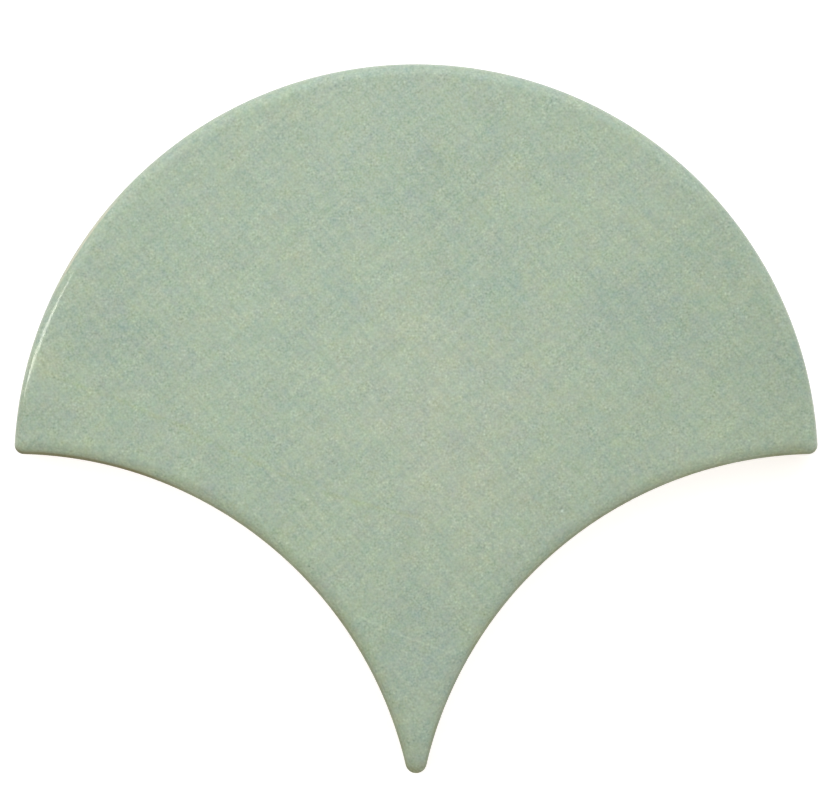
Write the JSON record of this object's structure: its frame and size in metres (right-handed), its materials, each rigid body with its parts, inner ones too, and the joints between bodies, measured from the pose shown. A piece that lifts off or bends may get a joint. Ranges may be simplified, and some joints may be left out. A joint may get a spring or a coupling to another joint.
{
  "type": "fish scale tile",
  "caption": "Flat fan-shaped ceramic wall tile with a round crown, two hollow flanks that nest with its neighbours, a blunt tip and a glossy sage green glaze.",
  "frame": {"origin": "on the flat back, midway across the tile and midway from the tip to the top of the crown", "axes": "+X across the tile, +Y from the tip to the crown, +Z out of the glazed face"},
  "size_m": [0.12, 0.106, 0.009],
  "materials": {
    "glazed_clay": "glossy mottled sage green glaze on the face, bare clay on the back"
  },
  "bodies": {
    "root": {"tile": "glazed_clay"}
  },
  "joints": []
}
